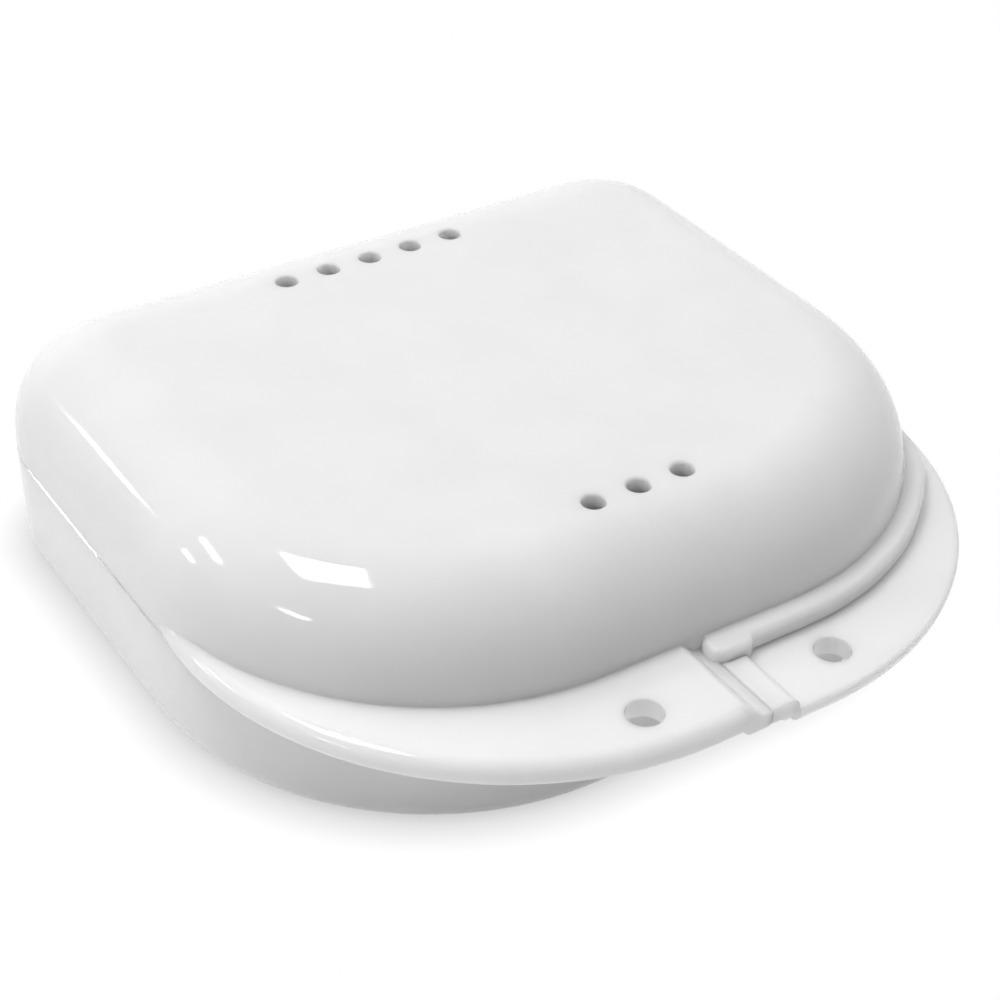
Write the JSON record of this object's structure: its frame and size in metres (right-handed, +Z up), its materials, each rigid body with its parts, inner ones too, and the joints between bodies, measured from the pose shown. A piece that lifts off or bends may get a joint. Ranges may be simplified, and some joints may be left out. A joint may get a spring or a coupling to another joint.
{
  "type": "orthodontic retainer case",
  "caption": "Shallow hinged case with a domed, vented lid and offset front flanges that snap together, for storing an orthodontic retainer.",
  "frame": {"origin": "middle of the base's flat underside, below the middle of the shell", "axes": "+Z up, +X along the hinge axis to the right seen from the latch, +Y from the latch to the hinge; the rest pose is shut"},
  "size_m": [0.082, 0.0867, 0.0243],
  "materials": {
    "white_plastic": "gloss moulded"
  },
  "bodies": {
    "base": {"base": "white_plastic"},
    "lid": {"lid": "white_plastic"}
  },
  "joints": [
    {"name": "lid_hinge", "type": "hinge", "parent": "base", "child": "lid", "pos_m": [0, 0.0383, 0.01215], "axis": [-1, 0, 0], "range_deg": [0, 180]}
  ]
}
